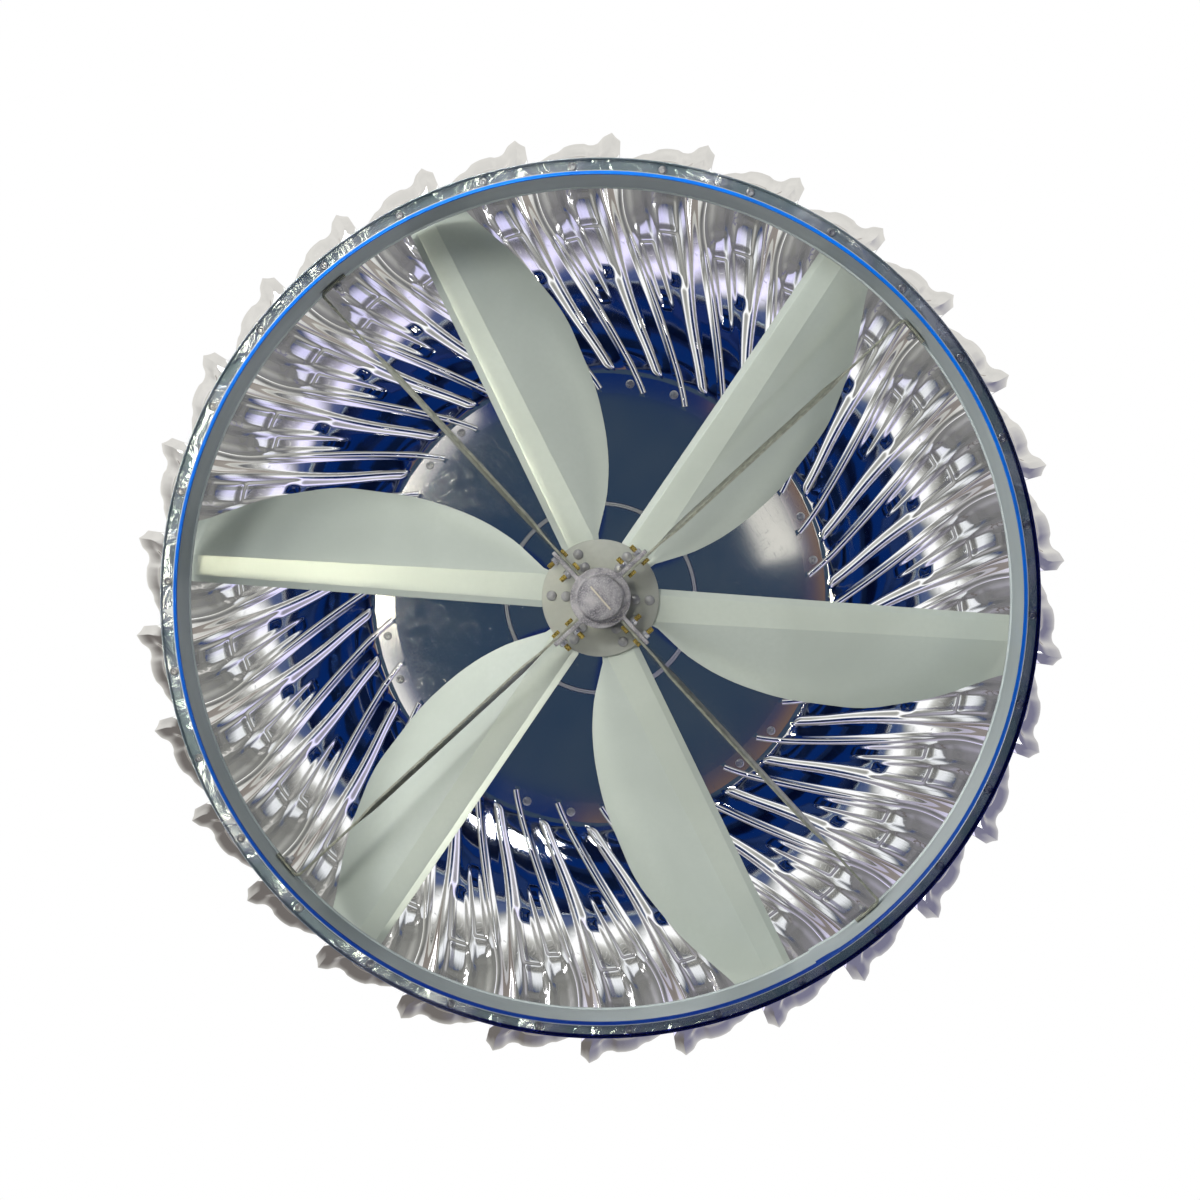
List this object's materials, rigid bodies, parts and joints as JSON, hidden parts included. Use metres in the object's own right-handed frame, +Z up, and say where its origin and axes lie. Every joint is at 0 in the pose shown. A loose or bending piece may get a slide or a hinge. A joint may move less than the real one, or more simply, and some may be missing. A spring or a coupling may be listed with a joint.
{
  "type": "turbine roof ventilator",
  "caption": "Wind-driven roof ventilator: a domed rotor of polished overlapping vanes with an inner fan turns on a bearing carried by stay bars in an open round throat.",
  "frame": {"origin": "centre of the throat in the plane of its lower edge, which is the part's lowest plane", "axes": "+Z up along the rotor's axis, +X and +Y in the plane of the throat's lower edge"},
  "size_m": [0.915, 0.9178, 0.6376],
  "materials": {
    "galvanised": "galvanised sheet, dull grey-green with light stains",
    "blade_sheet": "galvanised sheet, matte pale grey-green",
    "polished_aluminium": "mirror polished, with light handling marks",
    "cast_aluminium": "sand cast, mottled grey",
    "bright_steel": "ground bright",
    "yellow_zinc": "yellow zinc plated",
    "stay_steel": "zinc plated flat bar, dulled"
  },
  "bodies": {
    "fixed_frame": {"throat_collar": "galvanised", "bearing_housing": "cast_aluminium", "stay_bar_1": "stay_steel", "stay_bar_2": "stay_steel", "stay_bar_3": "stay_steel", "stay_bar_4": "stay_steel", "clamp_bolt_1": "yellow_zinc", "clamp_bolt_2": "yellow_zinc", "clamp_bolt_3": "yellow_zinc", "clamp_bolt_4": "yellow_zinc", "clamp_bolt_5": "yellow_zinc", "clamp_bolt_6": "yellow_zinc", "clamp_bolt_7": "yellow_zinc", "clamp_bolt_8": "yellow_zinc", "bearing_outer_race": "bright_steel"},
    "rotor": {"rotor_shaft": "bright_steel", "shaft_retaining_ring": "bright_steel", "bearing_inner_race": "bright_steel", "bearing_ball_cage": "bright_steel", "hub_disc": "galvanised", "fan_blade_1": "blade_sheet", "fan_blade_2": "blade_sheet", "fan_blade_3": "blade_sheet", "fan_blade_4": "blade_sheet", "fan_blade_5": "blade_sheet", "fan_blade_6": "blade_sheet", "rotor_ring": "polished_aluminium", "inner_disc": "polished_aluminium", "top_cover": "polished_aluminium", "top_flange_nut": "bright_steel", "vane_01": "polished_aluminium", "vane_02": "polished_aluminium", "vane_03": "polished_aluminium", "vane_04": "polished_aluminium", "vane_05": "polished_aluminium", "vane_06": "polished_aluminium", "vane_07": "polished_aluminium", "vane_08": "polished_aluminium", "vane_09": "polished_aluminium", "vane_10": "polished_aluminium", "vane_11": "polished_aluminium", "vane_12": "polished_aluminium", "vane_13": "polished_aluminium", "vane_14": "polished_aluminium", "vane_15": "polished_aluminium", "vane_16": "polished_aluminium", "vane_17": "polished_aluminium", "vane_18": "polished_aluminium", "vane_19": "polished_aluminium", "vane_20": "polished_aluminium", "vane_21": "polished_aluminium", "vane_22": "polished_aluminium", "vane_23": "polished_aluminium", "vane_24": "polished_aluminium", "vane_25": "polished_aluminium", "vane_26": "polished_aluminium", "vane_27": "polished_aluminium", "vane_28": "polished_aluminium", "vane_29": "polished_aluminium", "vane_30": "polished_aluminium"}
  },
  "joints": [
    {"name": "rotor_spin", "type": "hinge", "parent": "fixed_frame", "child": "rotor", "pos_m": [0, 0, 0.08], "axis": [0, 0, 1], "continuous": true}
  ]
}
